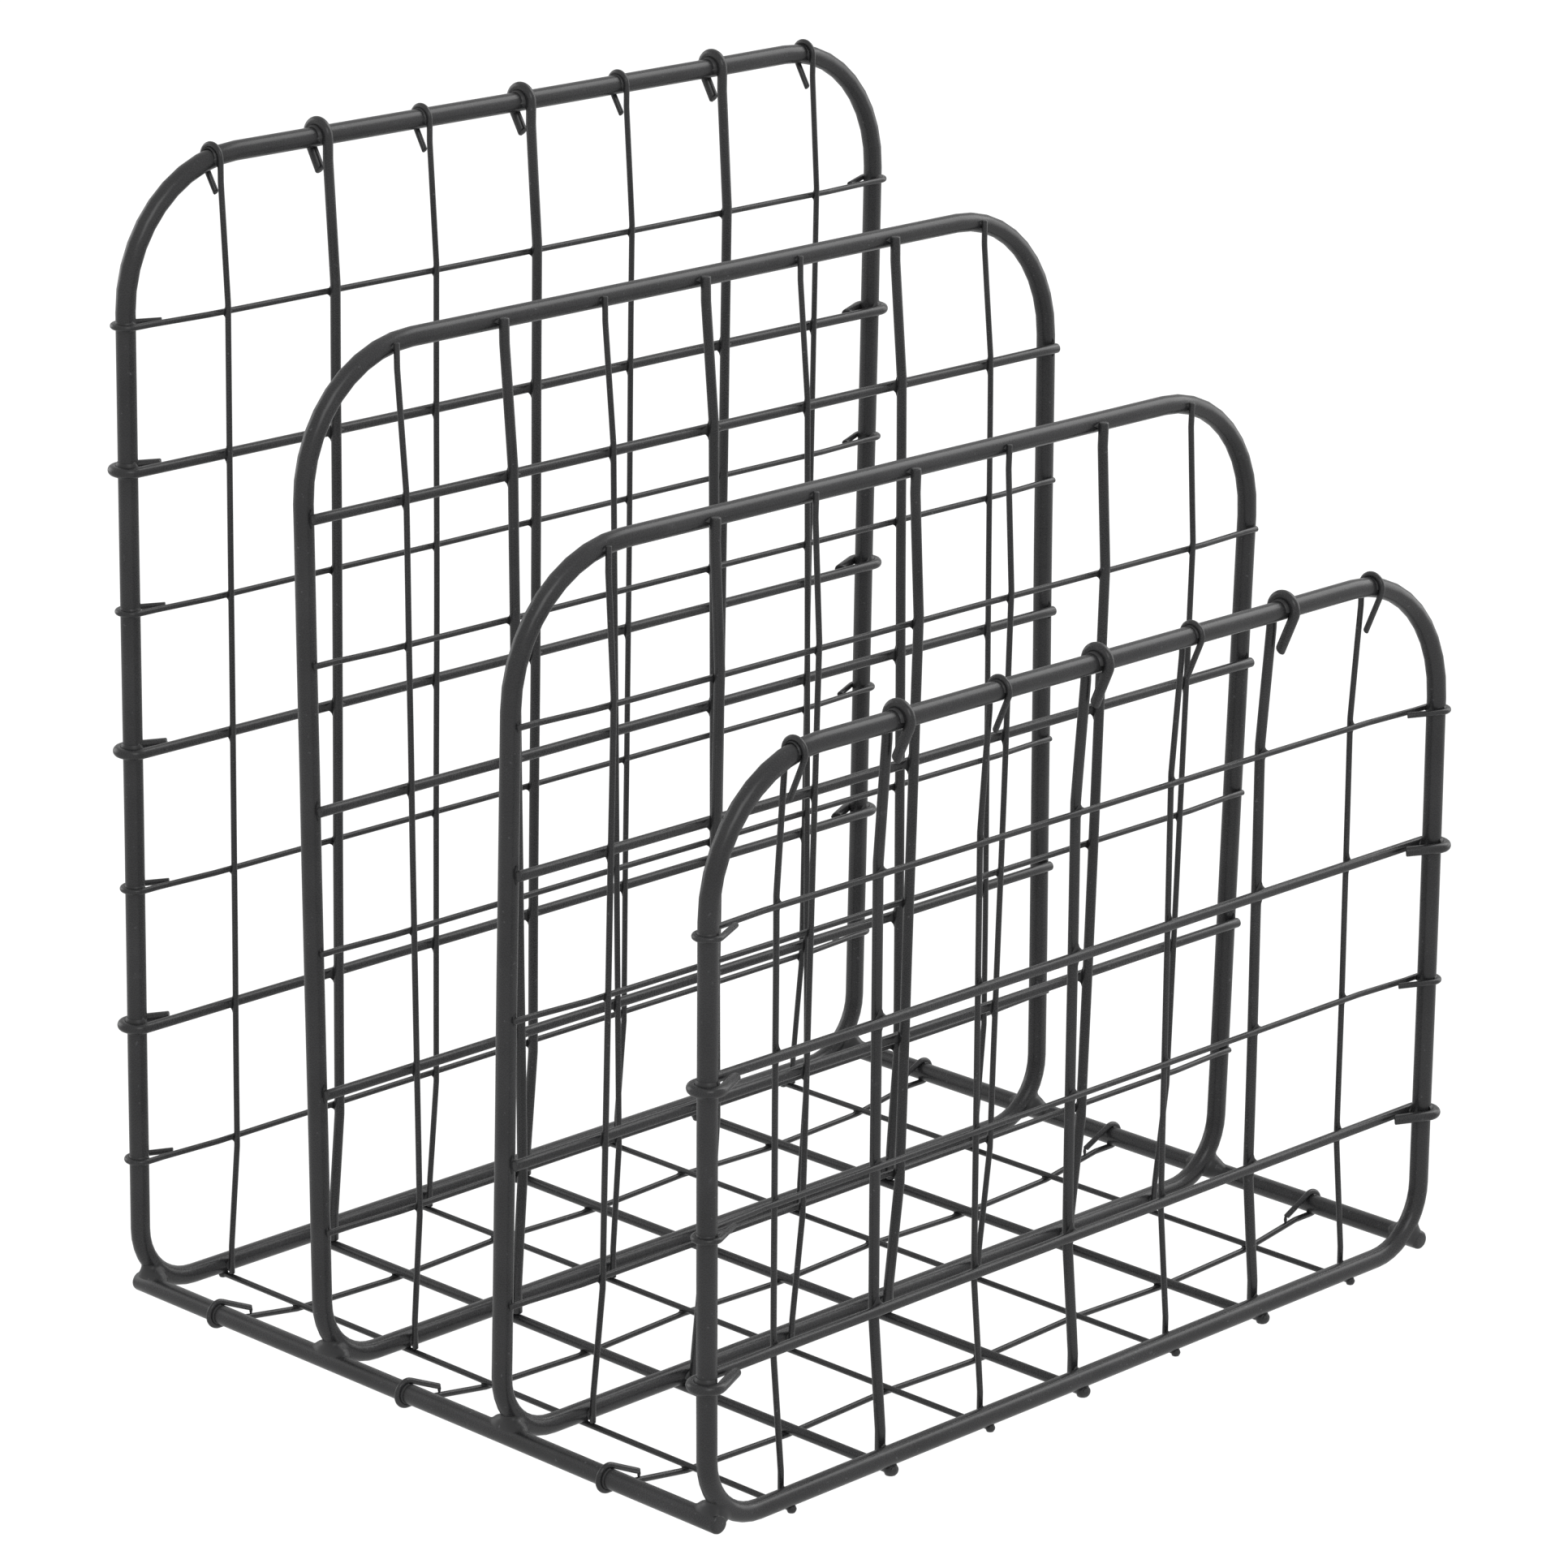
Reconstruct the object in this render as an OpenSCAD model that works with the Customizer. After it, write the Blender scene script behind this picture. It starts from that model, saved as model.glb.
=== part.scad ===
// Wire file organizer: four stepped wire panels on two side rails, with a wire floor between the rails.
// X runs along the panels, Y from the front panel to the back one, and Z up.
// The origin is on the desk, at the middle of the footprint.

/* [Frames] */
// Distance between the leg centres of a panel frame
leg_spacing = 246; // [190:1:310]
// Height of the back frame, from the centre of its bottom bar to the centre of its top bar
back_height = 273; // [225:1:340]
// How much lower each panel is than the one behind it
step_down = 33.5; // [15:0.5:42]
// Centre line radius of the two upper bends
top_bend = 33; // [24:1:42]
// Centre line radius of the two lower bends
foot_bend = 16; // [12:0.5:20]
// Distance from the back or front panel to the divider next to it
outer_pitch = 66; // [50:0.5:90]
// Distance between the two dividers
middle_pitch = 60.5; // [45:0.5:90]

/* [Lean] */
// Inward lean of the back and front panels, in degrees
outer_lean = 0.5; // [0:0.1:1.5]
// Backward lean of the rear divider, in degrees
rear_divider_lean = 0.9; // [0:0.1:1.5]
// Forward lean of the front divider, in degrees
front_divider_lean = 1.2; // [0:0.1:1.5]

/* [Wire] */
// Diameter of the bar that the frames and rails are made of
bar_d = 4.5; // [3.6:0.1:5.4]
// Diameter of the thick mesh wire
thick_d = 2.3; // [1.8:0.05:2.8]
// Diameter of the thin mesh wire
thin_d = 1.25; // [1:0.05:1.6]
// Clearance between two wires at a welded crossing
weld_gap = 0.05; // [0.04:0.01:0.1]

/* [Panel mesh] */
// Uprights in each panel
upright_count = 7; // [3:2:7]
// Distance from a leg centre to the nearest upright
edge_gap = 26; // [22:0.5:40]
// Crossbars of the back panel, with one fewer in each panel further forward
back_crossbars = 7; // [5:1:7]
// Drop from the start of the upper bends to the highest crossbar
crossbar_drop = 3; // [3:0.5:15]
// Straight length that an upright keeps beside the bars, before it bows out
bar_straight = 5; // [3:0.5:8]
// Straight length that an upright keeps above and below the crossbars that it bows over
bow_straight = 2; // [1:0.5:6]
// Straight length that a thin crossbar keeps beside a leg or an upright, before it steps out
step_straight = 5; // [3:0.5:8]

/* [Hooks] */
// Slant of a tail towards its own wire, on the back panel's uprights, in degrees
back_slant = 32; // [20:1:40]
// Slant of a tail on the front panel's uprights, in degrees
front_slant = 24; // [20:1:40]
// Slant of a tail on the crossbars, in degrees
crossbar_slant = 25; // [20:1:40]
// Slant of a tail on the floor's cross wires, in degrees
floor_slant = 25; // [20:1:40]
// Gap left between the end of a tail and its own wire
tail_gap = 0.4; // [0.2:0.05:1]

/* [Floor] */
// Cross wires under the floor
cross_wire_count = 3; // [2:1:4]
// Distance between the floor's cross wires
cross_wire_pitch = 66.5; // [35:0.5:70]
// How far the row of cross wires is set back from the middle
cross_wire_setback = 3; // [0:0.5:8]
// How far a rail reaches past the back and front frames
rail_overhang = 0.5; // [0:0.1:4]
// How far a lengthwise wire reaches past the centres of the back and front bottom bars
nub = 1.5; // [0.5:0.1:2.5]
// Straight length of a cross wire under a rail
rail_straight = 6; // [4:0.5:8]

/* [Rail welds] */
// How far the rim of a weld collar stays inside the side of the bar
collar_inset = 0.15; // [0.1:0.05:0.5]
// Diameter of the unfilled core of a weld collar
collar_core_d = 1.8; // [1.2:0.1:2.4]
// Radius of the hollow waist of a weld collar
collar_waist_r = 1.6; // [1.2:0.1:2.4]

/* [Hidden] */
$fn = 48;
finish = "#424243";

// A bend of a few degrees is a ball a hair thicker than the wire, between two rods cut just short of it.
ball_margin = 0.02;
rod_cut = 0.1;
// Uprights stop this far above the lower edge of the bottom bar, and this share of it above the top bar's centre.
upright_foot_lift = 0.2;
divider_end_share = 0.4;
// Weld collars clear the bars by this much, and the centre of their round waist lies outside them by this share of it.
collar_clearance = 0.6 * weld_gap;
collar_d = bar_d - 2 * collar_inset;
waist_offset = 0.7;

bar_r = bar_d / 2;
leg_x = leg_spacing / 2;
panels = [0 : 3];
panel_names = ["back", "rear_divider", "front_divider", "front"];
panel_y = [
    middle_pitch / 2 + outer_pitch,
    middle_pitch / 2,
    -middle_pitch / 2,
    -middle_pitch / 2 - outer_pitch
];
panel_tilt = [outer_lean, -rear_divider_lean, front_divider_lean, -outer_lean];
upright_slant = [back_slant, 0, 0, front_slant];
top_crossbar_is_thick = [false, true, false, false];

// Height of the bottom bars' centre: the floor wires cross in two layers below it.
bottom_bar_z = bar_r + thick_d + thin_d + 2 * weld_gap;

// The rails lie in the outer corner of the lower bends, along the diagonal.
rail_reach = (foot_bend + bar_d + weld_gap) * sqrt(0.5);
rail_x = leg_x - foot_bend + rail_reach;
rail_z = bottom_bar_z + foot_bend - rail_reach;
rail_end_y = panel_y[0] + bar_r + rail_overhang;
rail_end_round = 0.8;

// The outer faces of all crossbars lie in one plane, this far from the middle of the frame bars.
crossbar_face = bar_r + weld_gap + thick_d;

function is_outer(i) = i == 0 || i == 3;
function panel_height(i) = back_height - i * step_down;
function crossbar_count(i) = back_crossbars - i;

// Crossbars are counted from the top, and share the height below the upper bends evenly.
function crossbar_z(i, k) =
    (panel_height(i) - top_bend - crossbar_drop) * (crossbar_count(i) - k + 1) / crossbar_count(i);
function crossbar_d(i, k) = (k % 2 == 0) != top_crossbar_is_thick[i] ? thick_d : thin_d;

// Uprights are counted from the left, and the floor's lengthwise wires lie in line with them.
function upright_x(k) = (leg_x - edge_gap) * (2 * (k - 1) / (upright_count - 1) - 1);
function upright_d(k) = k % 2 == 0 ? thick_d : thin_d;

// How far along the upper bend a place at x lies, how far the bar has dropped there, and how steep it is.
function bend_run(x) = max(0, abs(x) - leg_x + top_bend);
function bend_drop(x) = top_bend - sqrt(pow(top_bend, 2) - pow(bend_run(x), 2));
function bend_angle(x) = asin(bend_run(x) / top_bend);

// Distance from the centre of a bar to the centre of a wire of diameter d that lies on it.
function beside_bar(d) = bar_r + weld_gap + d / 2;
// The same for a wire that hooks over the top bar at x, where the bar may be sloping.
function over_top_bar(d, x) =
    bar_r / cos(bend_angle(x)) + d / 2 * tan(bend_angle(x)) + weld_gap + d / 2;

// Turns the Z axis of its children to the direction of run.
module along(run) {
    rotate([0, acos(run[2] / norm(run)), atan2(run[1], run[0])]) children();
}

// A straight rod from a to b, cut short by cut_a and cut_b at its ends.
module rod(d, a, b, cut_a = 0, cut_b = 0) {
    translate(a)
        along(b - a)
            translate([0, 0, cut_a])
                cylinder(h = norm(b - a) - cut_a - cut_b, d = d);
}

// The ball at a bend, with its poles along the wire.
module knuckle(d, run) {
    along(run) sphere(d = d + 2 * ball_margin);
}

// A wire through the given points, with a small bend at each point between its ends.
module bent_wire(d, points) {
    last = len(points) - 1;
    for (i = [0 : last - 1])
        rod(d, points[i], points[i + 1], i > 0 ? rod_cut : 0, i < last - 1 ? rod_cut : 0);
    for (i = [1 : 1 : last - 1])
        translate(points[i]) knuckle(d, points[i + 1] - points[i]);
}

// A hook in the XY plane: the wire comes along X below the origin, turns about it by half a circle
// and the slant, and its straight tail runs back until it meets the wire again.
module hook(d, turn_r, slant) {
    tail_end_y = d / 2 + tail_gap + d / 2 * cos(slant) - turn_r;
    tail = (turn_r * cos(slant) - tail_end_y) / sin(slant);
    cut_angle = rod_cut / turn_r * 180 / PI;
    rotate([0, 0, -90])
        rotate_extrude(angle = 180 + slant - cut_angle)
            translate([turn_r, 0]) circle(d = d);
    rotate([0, 0, 90 + slant])
        translate([turn_r, 0, 0]) {
            knuckle(d, [0, tail, 0]);
            rod(d, [0, 0, 0], [0, tail, 0], rod_cut);
        }
}

// Children are drawn at both ends of the X axis.
module both_sides() {
    children();
    mirror([1, 0, 0]) children();
}

// Places a panel drawn with its bottom bar's centre at the origin and its mesh on the -Y face.
// The front panel is turned about, so that its mesh is inside.
module on_panel(i) {
    translate([0, panel_y[i], bottom_bar_z])
        rotate([panel_tilt[i], 0, 0])
            mirror([0, i == 3 ? 1 : 0, 0])
                children();
}

// A quarter turn of bar in the XZ plane, from straight down to straight out along X.
module quarter_bend(r) {
    rotate([90, 0, 0])
        rotate_extrude(angle = 90)
            translate([r, 0]) circle(d = bar_d);
}

// One closed loop of bar: two legs, a top bar and a bottom bar, with four bends.
module frame(i) {
    top_z = panel_height(i);
    top_x = leg_x - top_bend;
    foot_x = leg_x - foot_bend;
    color(finish)
        on_panel(i) {
            rod(bar_d, [-top_x, 0, top_z], [top_x, 0, top_z]);
            rod(bar_d, [-foot_x, 0, 0], [foot_x, 0, 0]);
            both_sides() {
                rod(bar_d, [leg_x, 0, foot_bend], [leg_x, 0, top_z - top_bend]);
                translate([top_x, 0, top_z - top_bend]) quarter_bend(top_bend);
                translate([foot_x, 0, foot_bend]) mirror([0, 0, 1]) quarter_bend(foot_bend);
            }
        }
}

// An upright lies on the bottom and top bars, and bows out over the crossbars between them.
module upright(i, k) {
    d = upright_d(k);
    x = upright_x(k);
    top_z = panel_height(i) - bend_drop(x);
    low_y = -beside_bar(d);
    bow_y = -crossbar_face - weld_gap - d / 2;
    high_y = is_outer(i) ? -over_top_bar(d, x) : low_y;
    end_z = is_outer(i) ? top_z : top_z + divider_end_share * bar_r;
    color(finish)
        on_panel(i) {
            bent_wire(d, [
                [x, low_y, upright_foot_lift - bar_r],
                [x, low_y, bar_straight],
                [x, bow_y, crossbar_z(i, crossbar_count(i)) - bow_straight],
                [x, bow_y, crossbar_z(i, 1) + bow_straight],
                [x, high_y, top_z - bar_straight],
                [x, high_y, end_z]
            ]);
            if (is_outer(i))
                translate([x, 0, top_z]) rotate([0, -90, 0]) hook(d, -high_y, upright_slant[i]);
        }
}

// A thick crossbar is straight. A thin one steps out between its legs, so that all meet the uprights.
module crossbar(i, k) {
    d = crossbar_d(i, k);
    leg_y = -beside_bar(d);
    mid_y = d / 2 - crossbar_face;
    step_out_x = leg_x - step_straight;
    step_in_x = upright_x(upright_count) + step_straight;
    color(finish)
        on_panel(i)
            translate([0, 0, crossbar_z(i, k)]) {
                if (d == thick_d)
                    rod(d, [-leg_x, leg_y, 0], [leg_x, leg_y, 0]);
                else
                    bent_wire(d, [
                        [-leg_x, leg_y, 0],
                        [-step_out_x, leg_y, 0],
                        [-step_in_x, mid_y, 0],
                        [step_in_x, mid_y, 0],
                        [step_out_x, leg_y, 0],
                        [leg_x, leg_y, 0]
                    ]);
                if (is_outer(i))
                    both_sides() translate([leg_x, 0, 0]) hook(d, -leg_y, crossbar_slant);
            }
}

// A straight bar along Y with rounded ends.
module rail(x) {
    color(finish)
        translate([x, rail_end_y, rail_z])
            rotate([90, 0, 0])
                rotate_extrude() {
                    square([bar_r - rail_end_round, 2 * rail_end_y]);
                    translate([0, rail_end_round]) square([bar_r, 2 * (rail_end_y - rail_end_round)]);
                    for (end = [rail_end_round, 2 * rail_end_y - rail_end_round])
                        translate([bar_r - rail_end_round, end]) circle(r = rail_end_round);
                }
}

// The collars fill the narrowing gap round each point where a rail touches a lower bend.
module rail_welds() {
    contact = (foot_bend + bar_r + weld_gap / 2) * sqrt(0.5);
    clear_d = bar_d + 2 * collar_clearance;
    $fn = 240;
    color(finish)
        both_sides()
            for (i = panels) {
                contact_y = panel_y[i] - (foot_bend - contact) * sin(panel_tilt[i]);
                difference() {
                    translate([leg_x - foot_bend + contact, contact_y, bottom_bar_z + foot_bend - contact])
                        rotate([0, 135, 0])
                            rotate_extrude()
                                difference() {
                                    translate([collar_core_d / 2, -bar_r])
                                        square([(collar_d - collar_core_d) / 2, bar_d]);
                                    translate([collar_d / 2 + waist_offset * collar_waist_r, 0])
                                        circle(r = collar_waist_r);
                                }
                    translate([rail_x, panel_y[i] - bar_d, rail_z])
                        rotate([-90, 0, 0]) cylinder(h = 2 * bar_d, d = clear_d);
                    translate([leg_x - foot_bend, contact_y, bottom_bar_z + foot_bend])
                        rotate([90, 0, 0])
                            rotate_extrude() translate([foot_bend, 0]) circle(d = clear_d);
                }
            }
}

// The lengthwise wires of one gauge lie under all four bottom bars.
module floor_wires(d) {
    end_y = panel_y[0] + nub;
    color(finish)
        for (k = [1 : upright_count])
            if (upright_d(k) == d)
                translate([upright_x(k), 0, bottom_bar_z - beside_bar(d)])
                    rod(d, [0, -end_y, 0], [0, end_y, 0]);
}

// The cross wires run up and down under the lengthwise wires, and hook over both rails.
module floor_cross_wires() {
    d = thin_d;
    rail_wire_z = rail_z - beside_bar(d);
    first_y = cross_wire_setback - cross_wire_pitch * (cross_wire_count - 1) / 2;
    color(finish)
        for (row = [0 : cross_wire_count - 1])
            translate([0, first_y + row * cross_wire_pitch, 0]) {
                bent_wire(d, concat(
                    [[-rail_x, 0, rail_wire_z], [rail_straight - rail_x, 0, rail_wire_z]],
                    [for (k = [1 : upright_count])
                        [upright_x(k), 0, bottom_bar_z - beside_bar(d) - upright_d(k) - weld_gap]],
                    [[rail_x - rail_straight, 0, rail_wire_z], [rail_x, 0, rail_wire_z]]
                ));
                both_sides()
                    translate([rail_x, 0, rail_z]) rotate([90, 0, 0]) hook(d, beside_bar(d), floor_slant);
            }
}

for (i = panels) {
    frame(i);
    for (k = [1 : upright_count])
        upright(i, k);
    for (k = [1 : crossbar_count(i)])
        crossbar(i, k);
}
rail(-rail_x);  // left_rail
rail(rail_x);  // right_rail
rail_welds();
floor_wires(thin_d);  // floor_thin_wires
floor_wires(thick_d);  // floor_thick_wires
floor_cross_wires();
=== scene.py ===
"""Looks of a welded wire file organizer.

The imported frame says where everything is. Here each wire is bent again as one smooth tube with rounded
cut ends, the crossings get weld beads, the rails get their spread welds, and all of it wears a charcoal
powder coat.
"""

from __future__ import annotations

import logging
import math
from dataclasses import dataclass, field
from enum import Enum
from typing import Any, Iterable

import bmesh
import bpy
from mathutils import Matrix, Vector, noise

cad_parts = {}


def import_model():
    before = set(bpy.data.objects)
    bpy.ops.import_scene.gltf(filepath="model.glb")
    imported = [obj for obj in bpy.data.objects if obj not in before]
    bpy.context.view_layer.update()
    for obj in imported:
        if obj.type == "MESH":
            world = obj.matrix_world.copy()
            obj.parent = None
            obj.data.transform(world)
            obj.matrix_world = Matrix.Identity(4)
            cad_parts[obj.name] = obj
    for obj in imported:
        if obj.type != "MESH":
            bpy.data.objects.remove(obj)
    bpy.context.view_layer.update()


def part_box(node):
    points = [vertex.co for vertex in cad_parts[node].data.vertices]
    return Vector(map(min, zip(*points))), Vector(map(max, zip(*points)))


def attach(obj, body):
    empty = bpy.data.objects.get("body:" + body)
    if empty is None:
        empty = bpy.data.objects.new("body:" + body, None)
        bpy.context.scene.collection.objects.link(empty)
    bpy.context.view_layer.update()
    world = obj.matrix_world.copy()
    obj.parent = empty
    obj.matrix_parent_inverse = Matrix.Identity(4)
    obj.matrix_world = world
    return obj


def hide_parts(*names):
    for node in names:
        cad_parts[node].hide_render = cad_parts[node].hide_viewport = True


LOG = logging.getLogger("wire_file_organizer")
MM = 0.001
BODY = "root"
COAT_FILM = 0.09 * MM
NOISE_SEED = 7


class Gauge(Enum):
    """The three gauges of steel wire, each with its diameter in metres and the sides that its tube gets."""

    BAR = (4.5 * MM, 28)
    THICK = (2.3 * MM, 20)
    THIN = (1.25 * MM, 16)

    @property
    def radius(self) -> float:
        """Radius of the wire, in metres."""
        return self.value[0] / 2

    @property
    def coated_radius(self) -> float:
        """Radius with the powder film on it, in metres."""
        return self.radius + COAT_FILM

    @property
    def sides(self) -> int:
        """Sides of the tube that stands for the wire."""
        return self.value[1]


class Slot(Enum):
    """The record's material slots."""

    BAR = "bar_coat"
    WIRE = "wire_coat"
    WELD = "weld_coat"


def linear(colour: str) -> tuple[float, float, float, float]:
    """Turns an sRGB hex colour to linear values.

    Args:
        colour: The colour as #rrggbb.

    Returns:
        Red, green, blue and a full alpha.
    """
    parts = [int(colour[i : i + 2], 16) / 255 for i in (1, 3, 5)]
    flat = [p / 12.92 if p <= 0.04045 else ((p + 0.055) / 1.055) ** 2.4 for p in parts]
    return flat[0], flat[1], flat[2], 1.0


def add_node(
    tree: bpy.types.NodeTree,
    kind: str,
    inputs: dict[str | int, Any],
    settings: dict[str, Any] | None = None,
) -> bpy.types.Node:
    """Adds a node with its settings and links.

    Args:
        tree: The node tree that gets the node.
        kind: The node's type.
        inputs: What goes to each input: a socket is linked and any other value is set.
        settings: Values of the node's own properties.

    Returns:
        The new node.
    """
    node = tree.nodes.new(kind)
    for name, value in (settings or {}).items():
        setattr(node, name, value)
    for name, value in inputs.items():
        if isinstance(value, bpy.types.NodeSocket):
            tree.links.new(value, node.inputs[name])
        else:
            node.inputs[name].default_value = value
    return node


def add_grain(
    tree: bpy.types.NodeTree,
    place: bpy.types.NodeSocket,
    grain_mm: float,
    detail: float,
    roughness: float = 0.5,
) -> bpy.types.NodeSocket:
    """Adds a noise pattern.

    Args:
        tree: The node tree that gets it.
        place: The coordinates that it follows.
        grain_mm: The size of its grains, in millimetres.
        detail: How many finer layers it has.
        roughness: How strong the finer layers are.

    Returns:
        Its value, about 0 to 1.
    """
    inputs = {"Vector": place, "Scale": 1 / (grain_mm * MM), "Detail": detail, "Roughness": roughness}
    return add_node(tree, "ShaderNodeTexNoise", inputs).outputs["Fac"]


def add_range(
    tree: bpy.types.NodeTree,
    value: bpy.types.NodeSocket,
    source: tuple[float, float],
    target: tuple[float, float] = (0.0, 1.0),
) -> bpy.types.NodeSocket:
    """Adds a change of range, held at both ends.

    Args:
        tree: The node tree that gets it.
        value: The value to change.
        source: The range that it comes from.
        target: The range that it goes to.

    Returns:
        The changed value.
    """
    inputs = {
        "Value": value,
        "From Min": source[0],
        "From Max": source[1],
        "To Min": target[0],
        "To Max": target[1],
    }
    return add_node(tree, "ShaderNodeMapRange", inputs).outputs["Result"]


def add_mix(
    tree: bpy.types.NodeTree, share: bpy.types.NodeSocket, first: Any, second: Any
) -> bpy.types.NodeSocket:
    """Adds a mix of two colours.

    Args:
        tree: The node tree that gets it.
        share: How much of the second colour shows, 0 to 1.
        first: The first colour.
        second: The second colour.

    Returns:
        The mixed colour.
    """
    return add_node(tree, "ShaderNodeMix", {0: share, 6: first, 7: second}, {"data_type": "RGBA"}).outputs[2]


@dataclass(frozen=True)
class PowderCoat:
    """Charcoal polyester powder, sprayed dry on steel wire and baked.

    The melt levels to a satin skin with a shallow orange peel. Its pigment is uneven from grain to grain, a
    few grains stay pale, and the film runs a little thicker and darker here and thinner there. Small rubs
    from handling have dulled it to a paler grey in places.
    """

    name: str
    shade: str = "#232324"
    pale_shade: str = "#323233"
    fleck: str = "#58585a"
    scuff: str = "#4c4c4e"
    # Real grit is about 0.05 mm: drawn coarser, so that it shows.
    grit_mm: float = 0.32
    cloud_mm: float = 14.0
    fleck_mm: float = 0.9
    scuff_mm: float = 7.0
    peel_mm: float = 1.6
    peel_depth_mm: float = 0.014
    grit_depth_mm: float = 0.01
    roughness: float = 0.28
    roughness_swing: float = 0.1

    def material(self) -> bpy.types.Material:
        """Builds the coat's material."""
        coat = bpy.data.materials.new(self.name)
        coat.use_nodes = True
        tree = coat.node_tree
        shader = tree.nodes["Principled BSDF"]
        place = add_node(tree, "ShaderNodeTexCoord", {}).outputs["Object"]
        grit = add_grain(tree, place, self.grit_mm, 2.0, 0.6)
        cloud = add_grain(tree, place, self.cloud_mm, 3.0)
        peel = add_grain(tree, place, self.peel_mm, 1.0)
        specks = add_grain(tree, place, self.fleck_mm, 1.0)
        rubs = add_grain(tree, place, self.scuff_mm, 4.0, 0.7)
        uneven = add_node(tree, "ShaderNodeMath", {0: grit, 1: cloud}, {"operation": "ADD"}).outputs[0]
        shading = add_range(tree, uneven, (0.72, 1.28))
        pale_grains = add_range(tree, specks, (0.72, 0.78), (0.0, 0.7))
        rubbed = add_range(tree, rubs, (0.68, 0.76), (0.0, 0.5))
        film = add_mix(tree, shading, linear(self.shade), linear(self.pale_shade))
        colour = add_mix(tree, pale_grains, film, linear(self.fleck))
        worn = add_mix(tree, rubbed, colour, linear(self.scuff))
        half_swing = self.roughness_swing / 2
        gloss = add_range(tree, grit, (0.3, 0.7), (self.roughness - half_swing, self.roughness + half_swing))
        waves = add_node(
            tree,
            "ShaderNodeBump",
            {"Strength": 0.5, "Distance": self.peel_depth_mm * MM, "Height": peel},
        ).outputs["Normal"]
        skin = add_node(
            tree,
            "ShaderNodeBump",
            {"Strength": 0.6, "Distance": self.grit_depth_mm * MM, "Height": grit, "Normal": waves},
        ).outputs["Normal"]
        tree.links.new(worn, shader.inputs["Base Color"])
        tree.links.new(gloss, shader.inputs["Roughness"])
        tree.links.new(skin, shader.inputs["Normal"])
        shader.inputs["IOR"].default_value = 1.5
        return coat


@dataclass(frozen=True)
class LightTable:
    """Opal acrylic sheet, cast matt and lit from behind, so that it burns out to an even white.

    The milky filler is a little uneven, which hardly shows.
    """

    name: str = "back_lit_opal_acrylic"
    milk: str = "#595959"
    thin_milk: str = "#5e5e5e"
    cloud_mm: float = 60.0
    glow: float = 0.97

    def material(self) -> bpy.types.Material:
        """Builds the sheet's material."""
        opal = bpy.data.materials.new(self.name)
        opal.use_nodes = True
        tree = opal.node_tree
        shader = tree.nodes["Principled BSDF"]
        place = add_node(tree, "ShaderNodeTexCoord", {}).outputs["Object"]
        filler = add_grain(tree, place, self.cloud_mm, 2.0)
        colour = add_mix(tree, filler, linear(self.milk), linear(self.thin_milk))
        tree.links.new(colour, shader.inputs["Base Color"])
        shader.inputs["Roughness"].default_value = 0.95
        shader.inputs["Emission Color"].default_value = linear("#ffffff")
        shader.inputs["Emission Strength"].default_value = self.glow
        return opal


@dataclass
class PaintShop:
    """Turns finished meshes to pieces, coats them and hangs them on the body."""

    coats: dict[Slot, bpy.types.Material] = field(default_factory=dict)

    def mix(self) -> None:
        """Makes the coat of each slot."""
        self.coats[Slot.BAR] = PowderCoat("powder_coated_steel_bar", peel_mm=2.0).material()
        self.coats[Slot.WIRE] = PowderCoat("powder_coated_steel_wire", peel_mm=1.2).material()
        self.coats[Slot.WELD] = PowderCoat(
            "powder_coated_weld", shade="#222223", pale_shade="#2d2d2e", peel_mm=1.0, roughness=0.4
        ).material()

    def coat(
        self, name: str, mesh: bpy.types.Mesh, slot: Slot, node: str | None = None
    ) -> bpy.types.Object:
        """Makes a piece from a mesh.

        Args:
            name: The piece's name.
            mesh: Its mesh, in place.
            slot: The material slot that it wears.
            node: The CAD node that it stands for, where there is one.

        Returns:
            The piece.
        """
        piece = bpy.data.objects.new(name, mesh)
        bpy.context.scene.collection.objects.link(piece)
        mesh.materials.append(self.coats[slot])
        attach(piece, BODY)
        strayed = ""
        if node:
            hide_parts(node)
            low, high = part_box(node)
            corners = [Vector(c) for c in piece.bound_box]
            away = max(
                max(abs(min(c[i] for c in corners) - low[i]), abs(max(c[i] for c in corners) - high[i]))
                for i in range(3)
            )
            strayed = f", box off by {away / MM:.2f} mm"
        LOG.info("%s: %d faces%s", name, len(mesh.polygons), strayed)
        return piece


@dataclass(frozen=True)
class WeldPull:
    """How welding has pulled the wires out of line, in a long wave and a short one, in metres.

    Neighbours move together, so crossings stay shut.
    """

    long_wave: float = 90 * MM
    long_shift: float = 0.2 * MM
    short_wave: float = 35 * MM
    short_shift: float = 0.06 * MM
    short_start: tuple[float, float, float] = (7.0, 3.0, 1.0)
    held_below: float = 40 * MM

    def shift(self, place: Vector) -> Vector:
        """How far a place is pulled.

        Args:
            place: The place, in metres.

        Returns:
            The shift, in metres. Its upright part fades out towards the desk.
        """
        pull = noise.noise_vector(place / self.long_wave) * self.long_shift
        pull += noise.noise_vector(place / self.short_wave + Vector(self.short_start)) * self.short_shift
        pull.z *= min(1.0, max(0.0, place.z / self.held_below))
        return pull


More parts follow.
